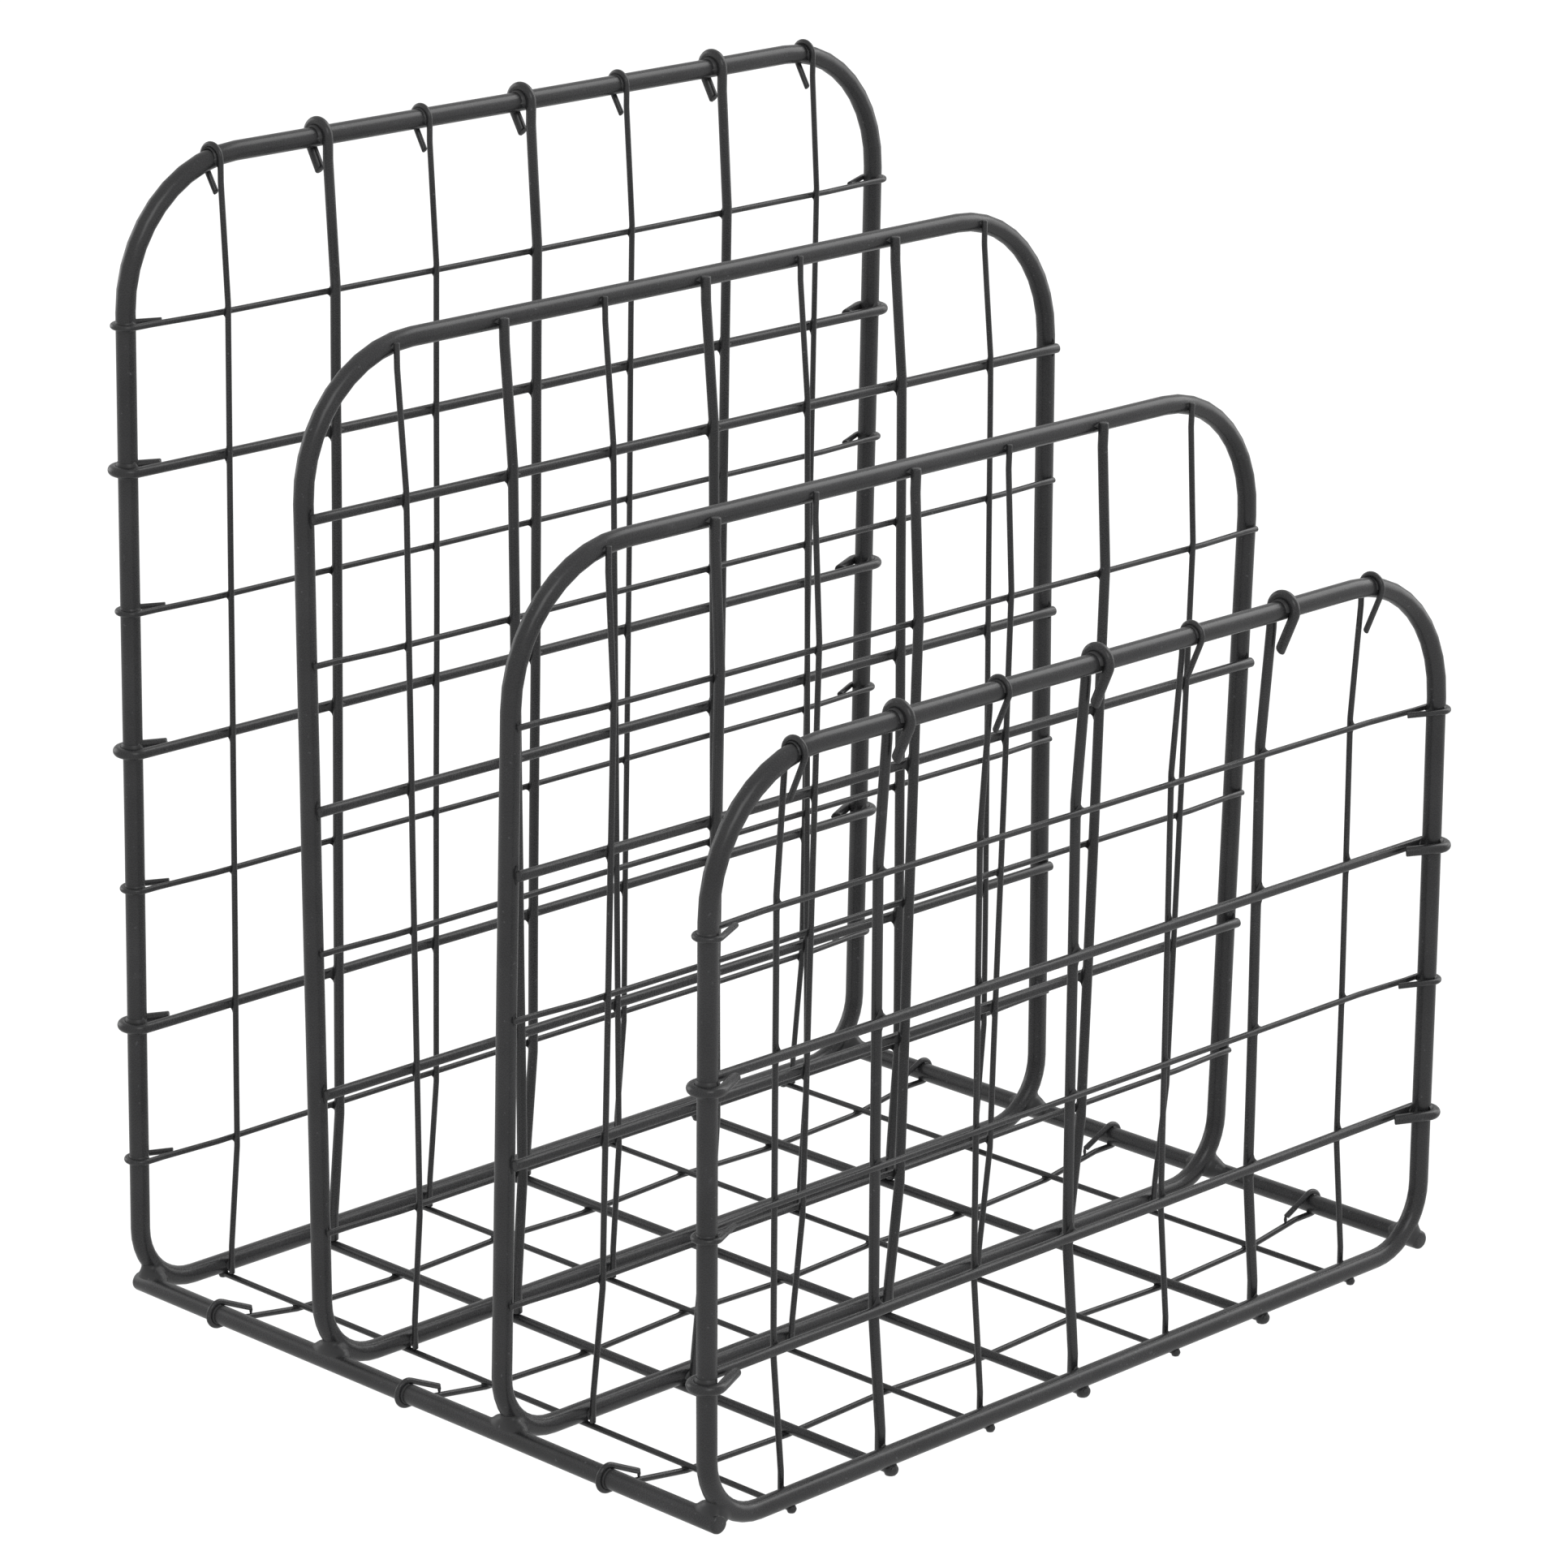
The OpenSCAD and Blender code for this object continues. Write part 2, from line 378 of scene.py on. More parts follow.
def to_mesh(source: bmesh.types.BMesh, name: str, sharp_angle: float = 50.0) -> bpy.types.Mesh:
    """Closes a bmesh: doubles merged, normals outwards, pulled by the welding and shaded smooth.

    Args:
        source: The bmesh, which is freed.
        name: The mesh's name.
        sharp_angle: Edges steeper than this stay sharp, in degrees.

    Returns:
        The mesh.
    """
    bmesh.ops.remove_doubles(source, verts=source.verts, dist=0.001 * MM)
    bmesh.ops.recalc_face_normals(source, faces=source.faces)
    pull = WeldPull()
    for vertex in source.verts:
        vertex.co += pull.shift(vertex.co)
    mesh = bpy.data.meshes.new(name)
    source.to_mesh(mesh)
    source.free()
    mesh.shade_smooth()
    mesh.set_sharp_from_angle(angle=math.radians(sharp_angle))
    return mesh


def in_order(items: Iterable[Any]) -> list[Any]:
    """Lists each item once, in the order that they come in, so that each run builds the same mesh."""
    return list(dict.fromkeys(items))


class WireBender:
    """Bends one wire: a ring of its outline is fed straight on, turned about a centre, and cut."""

    FEED_STEP = 8 * MM
    TURN_STEP = math.radians(9)
    LEAST_TURN = math.radians(0.05)
    SHEAR = math.radians(22)

    def __init__(self, gauge: Gauge, place: Vector, heading: Vector) -> None:
        """Clamps the wire's end.

        Args:
            gauge: The wire's gauge.
            place: Where the wire starts.
            heading: The direction that it starts in.
        """
        self.gauge = gauge
        self.place = place.copy()
        self.heading = heading.normalized()
        self.mesh = bmesh.new()
        stand = Matrix.Translation(place) @ self.heading.to_track_quat("Z", "Y").to_matrix().to_4x4()
        bmesh.ops.create_circle(self.mesh, segments=gauge.sides, radius=gauge.coated_radius, matrix=stand)
        self.tip = list(self.mesh.edges)

    def feed(self, length: float) -> None:
        """Feeds the wire straight on by a length."""
        steps = max(1, round(length / self.FEED_STEP))
        for _ in range(steps):
            made = bmesh.ops.extrude_edge_only(self.mesh, edges=self.tip)["geom"]
            ring = [g for g in made if isinstance(g, bmesh.types.BMVert)]
            bmesh.ops.translate(self.mesh, verts=ring, vec=self.heading * (length / steps))
            self.tip = [g for g in made if isinstance(g, bmesh.types.BMEdge)]
        self.place += self.heading * length

    def turn(self, centre: Vector, angle: float) -> None:
        """Turns the wire about a centre beside it.

        Args:
            centre: The centre of the bend.
            angle: How far the wire turns, in radians.
        """
        arm = self.place - centre
        axis = arm.cross(self.heading).normalized()
        steps = max(2, math.ceil(angle / self.TURN_STEP))
        ring = in_order(v for e in self.tip for v in e.verts)
        spun = bmesh.ops.spin(
            self.mesh,
            geom=ring + self.tip,
            cent=centre,
            axis=axis,
            angle=angle,
            steps=steps,
            use_merge=False,
        )["geom_last"]
        self.tip = [g for g in spun if isinstance(g, bmesh.types.BMEdge)]
        turned = Matrix.Rotation(angle, 3, axis)
        self.place = centre + turned @ arm
        self.heading = turned @ self.heading

    def follow(self, points: list[Vector], bend: float) -> None:
        """Feeds the wire along a route with rounded corners.

        Args:
            points: The route's corners and its end.
            bend: Centre line radius of the corners.
        """
        for corner, after in zip(points, points[1:]):
            leaving = (after - corner).normalized()
            angle = self.heading.angle(leaving)
            self.feed((corner - self.place).length - bend * math.tan(angle / 2))
            if angle > self.LEAST_TURN:
                side = (leaving - self.heading * leaving.dot(self.heading)).normalized()
                self.turn(self.place + side * bend, angle)
        self.feed((points[-1] - self.place).length)

    def hook(self, centre: Vector, slant: float, tail_gap: float) -> None:
        """Wraps the wire over a bar, and runs its tail back until it nearly meets the wire again.

        Args:
            centre: The centre of the bar.
            slant: How much further than half round it turns, in radians.
            tail_gap: Gap left between the tail's end and the wire.
        """
        arm = self.place - centre
        reach = arm.length
        axis = arm.cross(self.heading).normalized()
        radius = self.gauge.radius
        end = radius + tail_gap + radius * math.cos(slant) - reach
        self.turn(centre, math.pi + slant)
        self.feed((reach * math.cos(slant) - end) / math.sin(slant))
        self.shear(Matrix.Rotation(self.SHEAR, 3, axis) @ self.heading)

    def shear(self, facing: Vector) -> None:
        """Shears the wire's end off, as a cropping tool leaves it.

        Args:
            facing: The direction that the cut face looks in.
        """
        faces = in_order(f for e in self.tip for f in e.link_faces)
        edges = in_order(e for f in faces for e in f.edges)
        ring = in_order(v for f in faces for v in f.verts)
        back_off = self.gauge.coated_radius * math.tan(self.heading.angle(facing))
        bmesh.ops.bisect_plane(
            self.mesh,
            geom=[*faces, *edges, *ring],
            plane_co=self.place - self.heading * back_off,
            plane_no=facing,
            clear_outer=True,
        )

    def mirror(self) -> None:
        """Adds the other half of a wire that starts in the middle of the object."""
        bmesh.ops.mirror(
            self.mesh,
            geom=[*self.mesh.verts, *self.mesh.edges, *self.mesh.faces],
            matrix=Matrix.Identity(4),
            merge_dist=0.001 * MM,
            axis="X",
        )

    def cut(self, rounding: float = 0.3) -> None:
        """Closes the open ends and rounds their rims.

        Args:
            rounding: Radius of the rims, as a share of the wire's radius.
        """
        rims = [e for e in self.mesh.edges if e.is_boundary]
        bmesh.ops.holes_fill(self.mesh, edges=rims, sides=0)
        bmesh.ops.bevel(
            self.mesh,
            geom=rims,
            offset=rounding * self.gauge.coated_radius,
            offset_type="OFFSET",
            affect="EDGES",
            segments=3,
            profile=0.5,
            material=-1,
        )


@dataclass(frozen=True)
class Layout:
    """The sizes that all sub-assemblies share, in metres, as the frame was built."""

    leg_spacing: float = 246 * MM
    back_height: float = 273 * MM
    step_down: float = 33.5 * MM
    top_bend: float = 33 * MM
    foot_bend: float = 16 * MM
    outer_pitch: float = 66 * MM
    middle_pitch: float = 60.5 * MM
    weld_gap: float = 0.05 * MM
    upright_count: int = 7
    edge_gap: float = 26 * MM
    tail_gap: float = 0.4 * MM

    @property
    def leg_x(self) -> float:
        """Distance of a leg from the middle."""
        return self.leg_spacing / 2

    @property
    def bottom_z(self) -> float:
        """Height of the bottom bars' centre."""
        return Gauge.BAR.radius + 2 * (Gauge.THICK.radius + Gauge.THIN.radius + self.weld_gap)

    @property
    def rail_reach(self) -> float:
        """How far a rail lies outside a lower bend's centre, in width and in height."""
        return (self.foot_bend + 2 * Gauge.BAR.radius + self.weld_gap) * math.sqrt(0.5)

    @property
    def rail_x(self) -> float:
        """Distance of a rail from the middle."""
        return self.leg_x - self.foot_bend + self.rail_reach

    @property
    def rail_z(self) -> float:
        """Height of the rails."""
        return self.bottom_z + self.foot_bend - self.rail_reach

    @property
    def crossbar_face(self) -> float:
        """Distance from the middle of a frame to the face of its crossbars, between the legs."""
        return Gauge.BAR.radius + self.weld_gap + 2 * Gauge.THICK.radius

    def beside_bar(self, gauge: Gauge) -> float:
        """Distance from a bar's centre to the centre of a wire that lies on it."""
        return Gauge.BAR.radius + self.weld_gap + gauge.radius

    def upright_x(self, k: int) -> float:
        """Place of upright k across the panel, counted from 1 at the left."""
        return (self.leg_x - self.edge_gap) * (2 * (k - 1) / (self.upright_count - 1) - 1)

    def upright_gauge(self, k: int) -> Gauge:
        """Gauge of upright k."""
        return Gauge.THIN if k % 2 else Gauge.THICK


@dataclass
class BeadTray:
    """The small welds at the crossings of one panel or the floor, with the coat's web in each corner."""

    STRAIGHT = 1.0
    ROUND = 2.0

    fillet: float = 0.1 * MM
    pinch: float = 0.62
    corner_share: float = 0.332
    cross_thick: float = 0.5
    seat_width: float = 2.0
    seat_thick: float = 0.7
    wrap_width: float = 1.7
    wrap_thick: float = 0.5
    wrap_lift: float = 0.15
    drop_sink: float = 0.85
    drop_swell: float = 1.2
    drop_coat: float = 0.35 * MM
    mesh: bmesh.types.BMesh = field(default_factory=bmesh.new)

    def draw_star(self, place: Vector, first: Vector, second: Vector, thick: float, pinch: float) -> None:
        """Adds a flat ball that is drawn in between its four points.

        Args:
            place: Its middle.
            first: From the middle to one of its points.
            second: From the middle to the next of its points.
            thick: Half its thickness.
            pinch: How much it is drawn in: 2 for round sides, 1 for straight ones, less for hollow ones.
        """
        away = first.cross(second).normalized() * thick
        stand = Matrix.Translation(place) @ Matrix((first, second, away)).transposed().to_4x4()
        star = bmesh.ops.create_uvsphere(self.mesh, u_segments=12, v_segments=4, radius=1.0)["verts"]
        for vertex in star:
            flat = vertex.co.xy.length
            if flat > 0.001:
                east, north = abs(vertex.co.x) / flat, abs(vertex.co.y) / flat
                vertex.co.xy *= (east**pinch + north**pinch) ** (-1 / pinch)
        bmesh.ops.transform(self.mesh, matrix=stand, verts=star)

    def cross(self, place: Vector, first: tuple[Vector, float], second: tuple[Vector, float]) -> None:
        """Adds the weld of two crossing wires, with its points along them.

        Args:
            place: Where they touch.
            first: Direction and radius of one wire.
            second: Direction and radius of the other.
        """
        a, a_radius = first
        b, b_radius = second
        along_a = a * (min(b_radius, 2 * a_radius) + self.fillet) / self.corner_share
        along_b = b * (min(a_radius, 2 * b_radius) + self.fillet) / self.corner_share
        self.draw_star(place, along_a, along_b, self.cross_thick * min(a_radius, b_radius), self.pinch)

    def seat(self, place: Vector, bar_way: Vector, wire: tuple[Vector, float], reach: float) -> None:
        """Adds the weld of a wire on a bar.

        Args:
            place: Where they touch.
            bar_way: The bar's direction.
            wire: The wire's direction and radius.
            reach: How far the weld runs along the wire, to each side.
        """
        way, radius = wire
        across = bar_way * self.seat_width * (radius + self.fillet)
        self.draw_star(place, across, way * reach, self.seat_thick * radius, self.STRAIGHT)

    def drop(self, tip: Vector, way: Vector, radius: float) -> None:
        """Adds the drop that the melted coat gathers to at a cut end.

        Args:
            tip: The middle of the cut end.
            way: The direction that the end looks in.
            radius: The coated wire's radius.
        """
        swell = self.drop_swell * radius + self.drop_coat
        side = way.cross(Vector((0, 0, 1)))
        self.draw_star(tip - way * self.drop_sink * swell, side * swell, way * swell, swell, self.ROUND)

    def wrap(self, centre: Vector, bar_way: Vector, start: Vector, radius: float) -> None:
        """Adds the coat's web under a wire that wraps half round a bar.

        Args:
            centre: The bar's centre.
            bar_way: The bar's direction, about which the wire wraps.
            start: The direction from the centre to where the wrap starts.
            radius: The wire's radius.
        """
        turned = Matrix((bar_way, start, bar_way.cross(start))).transposed().to_4x4()
        outline = Matrix.Diagonal((self.wrap_width * radius, self.wrap_thick * radius, 1.0, 1.0))
        lift = Gauge.BAR.radius + self.wrap_lift * radius
        stand = Matrix.Translation(centre + start * lift) @ turned @ outline
        ring = bmesh.ops.create_circle(self.mesh, segments=8, radius=1.0, matrix=stand)["verts"]
        rim = in_order(e for v in ring for e in v.link_edges)
        spun = bmesh.ops.spin(
            self.mesh,
            geom=[*ring, *rim],
            cent=centre,
            axis=bar_way,
            angle=math.pi,
            steps=10,
            use_merge=False,
        )["geom_last"]
        last_rim = [g for g in spun if isinstance(g, bmesh.types.BMEdge)]
        bmesh.ops.holes_fill(self.mesh, edges=[e for e in [*rim, *last_rim] if e.is_valid], sides=0)


class PanelName(Enum):
    """The four panels, from the back to the front."""

    BACK = "back"
    REAR_DIVIDER = "rear_divider"
    FRONT_DIVIDER = "front_divider"
    FRONT = "front"


@dataclass
class Panel:
    """A closed loop of bar with a mesh of uprights and crossbars welded to one face."""

    layout: Layout
    name: PanelName
    rank: int
    place_y: float
    lean: float
    hooked: bool
    upright_slant: float = 30.0
    crossbar_slant: float = 25.0
    top_thick: bool = False
    back_crossbars: int = 7
    crossbar_drop: float = 3 * MM
    bar_straight: float = 5 * MM
    bow_straight: float = 2 * MM
    step_straight: float = 5 * MM
    divider_overhang: float = 0.5 * MM
    seat_reach: float = 2.1 * MM
    foot_lift: float = 0.2 * MM
    end_share: float = 0.4
    bend: float = 9 * MM
    slant_swing: float = 3.5

    def __post_init__(self) -> None:
        """Works out the panel's own directions and counts."""
        turned = Matrix.Rotation(math.radians(self.lean), 3, "X")
        self.up = turned @ Vector((0, 0, 1))
        self.out = turned @ Vector((0, 1 if self.name is PanelName.FRONT else -1, 0))
        self.foot = Vector((0, self.place_y, self.layout.bottom_z))
        self.height = self.layout.back_height - self.rank * self.layout.step_down
        self.crossbars = self.back_crossbars - self.rank

    def spot(self, x: float, out: float, z: float) -> Vector:
        """A place on the panel: across it, out from the frame's middle on the mesh side, and up."""
        return self.foot + Vector((x, 0, 0)) + self.out * out + self.up * z

    def crossbar_z(self, k: int) -> float:
        """Height of crossbar k, counted from 1 at the top."""
        top = self.height - self.layout.top_bend - self.crossbar_drop
        return top * (self.crossbars - k + 1) / self.crossbars

    def crossbar_gauge(self, k: int) -> Gauge:
        """Gauge of crossbar k."""
        return Gauge.THICK if (k % 2 == 0) != self.top_thick else Gauge.THIN

    def top_bar(self, x: float) -> tuple[float, float]:
        """The top bar over a place across the panel.

        Args:
            x: The place.

        Returns:
            The height of the bar's centre there, and how steep the bar is, in radians.
        """
        bend = self.layout.top_bend
        run = max(0.0, abs(x) - self.layout.leg_x + bend)
        return self.height - bend + math.sqrt(bend**2 - run**2), math.asin(run / bend)

    def slant(self, mean: float, k: int) -> float:
        """A tail's slant in radians: no two hooks are bent quite alike."""
        return math.radians(mean + self.slant_swing * noise.noise(Vector((k * 1.7, self.rank * 2.3, mean))))

    def build_frame(self) -> bpy.types.Mesh:
        """Bends the loop: half of it from the top's middle to the bottom's, and its mirror image."""
        size = self.layout
        top_x = size.leg_x - size.top_bend
        foot_x = size.leg_x - size.foot_bend
        bender = WireBender(Gauge.BAR, self.spot(0, 0, self.height), Vector((1, 0, 0)))
        bender.feed(top_x)
        bender.turn(self.spot(top_x, 0, self.height - size.top_bend), math.pi / 2)
        bender.feed(self.height - size.top_bend - size.foot_bend)
        bender.turn(self.spot(foot_x, 0, size.foot_bend), math.pi / 2)
        bender.feed(foot_x)
        bender.mirror()
        return to_mesh(bender.mesh, f"coated_{self.name.value}_frame")

    def build_upright(self, k: int) -> bpy.types.Mesh:
        """Bends upright k, which bows out over the crossbars."""
        size = self.layout
        gauge = size.upright_gauge(k)
        x = size.upright_x(k)
        top_z, steep = self.top_bar(x)
        low = size.beside_bar(gauge)
        bow = size.crossbar_face + size.weld_gap + gauge.radius
        high = low
        end_z = top_z + self.end_share * Gauge.BAR.radius
        if self.hooked:
            over_slope = Gauge.BAR.radius / math.cos(steep) + gauge.radius * math.tan(steep)
            high = over_slope + size.weld_gap + gauge.radius
            end_z = top_z
        bender = WireBender(gauge, self.spot(x, low, self.foot_lift - Gauge.BAR.radius), self.up)
        route = [
            self.spot(x, low, self.bar_straight),
            self.spot(x, bow, self.crossbar_z(self.crossbars) - self.bow_straight),
            self.spot(x, bow, self.crossbar_z(1) + self.bow_straight),
            self.spot(x, high, top_z - self.bar_straight),
            self.spot(x, high, end_z),
        ]
        bender.follow(route, self.bend)
        if self.hooked:
            bender.hook(self.spot(x, 0, top_z), self.slant(self.upright_slant, k), size.tail_gap)
        bender.cut()
        return to_mesh(bender.mesh, f"coated_{self.name.value}_upright_{k}")

    def build_crossbar(self, k: int) -> bpy.types.Mesh:
        """Bends crossbar k from its middle to the right, and its mirror image."""
        size = self.layout
        gauge = self.crossbar_gauge(k)
        z = self.crossbar_z(k)
        middle = size.crossbar_face - gauge.radius
        leg = size.beside_bar(gauge)
        bender = WireBender(gauge, self.spot(0, middle, z), Vector((1, 0, 0)))
        route = [
            self.spot(size.upright_x(size.upright_count) + self.step_straight, middle, z),
            self.spot(size.leg_x - self.step_straight, leg, z),
            self.spot(size.leg_x + (0 if self.hooked else self.divider_overhang), leg, z),
        ]
        bender.follow(route, self.bend)
        if self.hooked:
            bender.hook(self.spot(size.leg_x, 0, z), self.slant(self.crossbar_slant, 10 + k), size.tail_gap)
        bender.mirror()
        bender.cut()
        return to_mesh(bender.mesh, f"coated_{self.name.value}_crossbar_{k}")

    def build_beads(self) -> bpy.types.Mesh:
        """Sets a weld bead at each crossing of the mesh and the loop."""
        size = self.layout
        bar = Gauge.BAR.radius
        across = Vector((1, 0, 0))
        tray = BeadTray()
        for k in range(1, size.upright_count + 1):
            x = size.upright_x(k)
            wire = (self.up, size.upright_gauge(k).radius)
            top_z, steep = self.top_bar(x)
            sloped = across * math.cos(steep) - self.up * math.copysign(math.sin(steep), x)
            tray.seat(self.spot(x, bar, 0), across, wire, self.seat_reach)
            top_reach = self.seat_reach if self.hooked else self.end_share * bar
            tray.seat(self.spot(x, bar, top_z), sloped, wire, top_reach)
            if self.hooked:
                tray.wrap(self.spot(x, 0, top_z), self.out.cross(self.up), self.out, wire[1])
            for c in range(1, self.crossbars + 1):
                bead_place = self.spot(x, size.crossbar_face, self.crossbar_z(c))
                tray.cross(bead_place, wire, (across, self.crossbar_gauge(c).radius))
        for c in range(1, self.crossbars + 1):
            for x in (-size.leg_x, size.leg_x):
                leg_place = self.spot(x, bar, self.crossbar_z(c))
                leg_reach = self.seat_reach if self.hooked else self.divider_overhang
                tray.seat(leg_place, self.up, (across, self.crossbar_gauge(c).radius), leg_reach)
                if self.hooked:
                    leg_way = self.out.cross(Vector((math.copysign(1, x), 0, 0)))
                    leg_centre = self.spot(x, 0, self.crossbar_z(c))
                    tray.wrap(leg_centre, leg_way, self.out, self.crossbar_gauge(c).radius)
        return to_mesh(tray.mesh, f"{self.name.value}_weld_beads")

    def dress(self, shop: PaintShop) -> None:
        """Builds the panel's pieces and coats them."""
        name = self.name.value
        shop.coat(f"coated_{name}_frame", self.build_frame(), Slot.BAR, f"{name}_frame")
        for k in range(1, self.layout.upright_count + 1):
            node = f"{name}_upright_{k}"
            shop.coat(f"coated_{node}", self.build_upright(k), Slot.WIRE, node)
        for k in range(1, self.crossbars + 1):
            node = f"{name}_crossbar_{k}"
            shop.coat(f"coated_{node}", self.build_crossbar(k), Slot.WIRE, node)
        shop.coat(f"{name}_weld_beads", self.build_beads(), Slot.WELD)


@dataclass
class Floor:
    """Lengthwise wires under the four bottom bars, and cross wires that run up and down under those."""

    layout: Layout
    bar_places: list[float]
    nub: float = 1.5 * MM
    seat_reach: float = 1.4 * MM
    cross_rows: int = 3
    cross_pitch: float = 66.5 * MM
    cross_setback: float = 3 * MM
    rail_straight: float = 6 * MM
    slant: float = 25.0
    slant_swing: float = 3.0
    crest: float = 1 * MM
    bend: float = 6 * MM
    drip: float = 0.55 * MM
    drip_width: float = 0.7
    tail_ends: list[Vector] = field(default_factory=list)

    @property
    def wire_end(self) -> float:
        """Distance of the lengthwise wires' ends from the middle."""
        return max(self.bar_places) + self.nub

    def row_y(self, row: int) -> float:
        """Place of a cross wire, counted from 0 at the front."""
        return self.cross_setback + self.cross_pitch * (row - (self.cross_rows - 1) / 2)

    def wire_z(self, gauge: Gauge) -> float:
        """Height of a lengthwise wire."""
        return self.layout.bottom_z - self.layout.beside_bar(gauge)

    def build_lengthwise(self, gauge: Gauge) -> bpy.types.Mesh:
        """Cuts the lengthwise wires of one gauge."""
        size = self.layout
        joined = bmesh.new()
        for k in range(1, size.upright_count + 1):
            if size.upright_gauge(k) is gauge:
                start = Vector((size.upright_x(k), -self.wire_end, self.wire_z(gauge)))
                bender = WireBender(gauge, start, Vector((0, 1, 0)))
                bender.feed(2 * self.wire_end)
                bender.cut()
                pour(bender.mesh, joined)
        return to_mesh(joined, f"coated_floor_{gauge.name.lower()}_wires")

    def build_cross_wires(self) -> bpy.types.Mesh:
        """Bends the cross wires, each from its middle to the right, and its mirror image."""
        size = self.layout
        gauge = Gauge.THIN
        middle = (size.upright_count + 1) // 2
        joined = bmesh.new()
        for row in range(self.cross_rows):
            y = self.row_y(row)
            crests = [
                (size.upright_x(k), self.wire_z(size.upright_gauge(k)) - size.upright_gauge(k).radius)
                for k in range(middle, size.upright_count + 1)
            ]
            drop = size.weld_gap + gauge.radius
            rail_wire_z = size.rail_z - size.beside_bar(gauge)
            start = Vector((0, y, crests[0][1] - drop))
            route = [start + Vector((self.crest, 0, 0))]
            route += [Vector((x, y, z - drop)) for x, z in crests[1:]]
            route += [Vector((x, y, rail_wire_z)) for x in (size.rail_x - self.rail_straight, size.rail_x)]
            bender = WireBender(gauge, start, Vector((1, 0, 0)))
            bender.follow(route, self.bend)
            slant = math.radians(self.slant + self.slant_swing * noise.noise(Vector((row * 1.3, 5.1, 0))))
            bender.hook(Vector((size.rail_x, y, size.rail_z)), slant, size.tail_gap)
            self.tail_ends.append(bender.place)
            bender.mirror()
            bender.cut()
            pour(bender.mesh, joined)
        return to_mesh(joined, "coated_floor_cross_wires")

    def build_beads(self) -> bpy.types.Mesh:
        """Sets a weld bead at each crossing of the floor."""
        size = self.layout
        across = Vector((1, 0, 0))
        along = Vector((0, 1, 0))
        bar = Gauge.BAR.radius
        thin = Gauge.THIN.radius
        tray = BeadTray()
        for k in range(1, size.upright_count + 1):
            radius = size.upright_gauge(k).radius
            x = size.upright_x(k)
            for y in self.bar_places:
                tray.seat(Vector((x, y, size.bottom_z - bar)), across, (along, radius), self.seat_reach)
            for row in range(self.cross_rows):
                crossing = Vector((x, self.row_y(row), size.bottom_z - bar - size.weld_gap - 2 * radius))
                tray.cross(crossing, (along, radius), (across, thin))
        for row in range(self.cross_rows):
            for x in (-size.rail_x, size.rail_x):
                under = Vector((0, 0, -1))
                low = Vector((x, self.row_y(row), size.rail_z - bar))
                tray.seat(low, along, (across, thin), self.seat_reach)
                rail_way = under.cross(Vector((math.copysign(1, x), 0, 0)))
                tray.wrap(Vector((x, self.row_y(row), size.rail_z)), rail_way, under, thin)
        for k in range(1, size.upright_count + 1):
            gauge = size.upright_gauge(k)
            for way in (-1, 1):
                tip = Vector((size.upright_x(k), way * self.wire_end, self.wire_z(gauge)))
                tray.drop(tip, along * way, gauge.coated_radius)
        for tail_end in self.tail_ends:
            for side in (-1, 1):
                foot = Vector((side * tail_end.x, tail_end.y, tail_end.z - self.drip))
                width = self.drip_width * thin
                tray.draw_star(foot, across * width, along * width, 2 * self.drip, tray.ROUND)
        return to_mesh(tray.mesh, "floor_weld_beads")

    def dress(self, shop: PaintShop) -> None:
        """Builds the floor's pieces and coats them."""
        for gauge in (Gauge.THIN, Gauge.THICK):
            node = f"floor_{gauge.name.lower()}_wires"
            shop.coat(f"coated_{node}", self.build_lengthwise(gauge), Slot.WIRE, node)
        shop.coat("coated_floor_cross_wires", self.build_cross_wires(), Slot.WIRE, "floor_cross_wires")
        shop.coat("floor_weld_beads", self.build_beads(), Slot.WELD)


def pour(source: bmesh.types.BMesh, target: bmesh.types.BMesh) -> None:
    """Adds one bmesh to another, and frees the first."""
    carrier = bpy.data.meshes.new("carrier")
    source.to_mesh(carrier)
    source.free()
    target.from_mesh(carrier)
    bpy.data.meshes.remove(carrier)


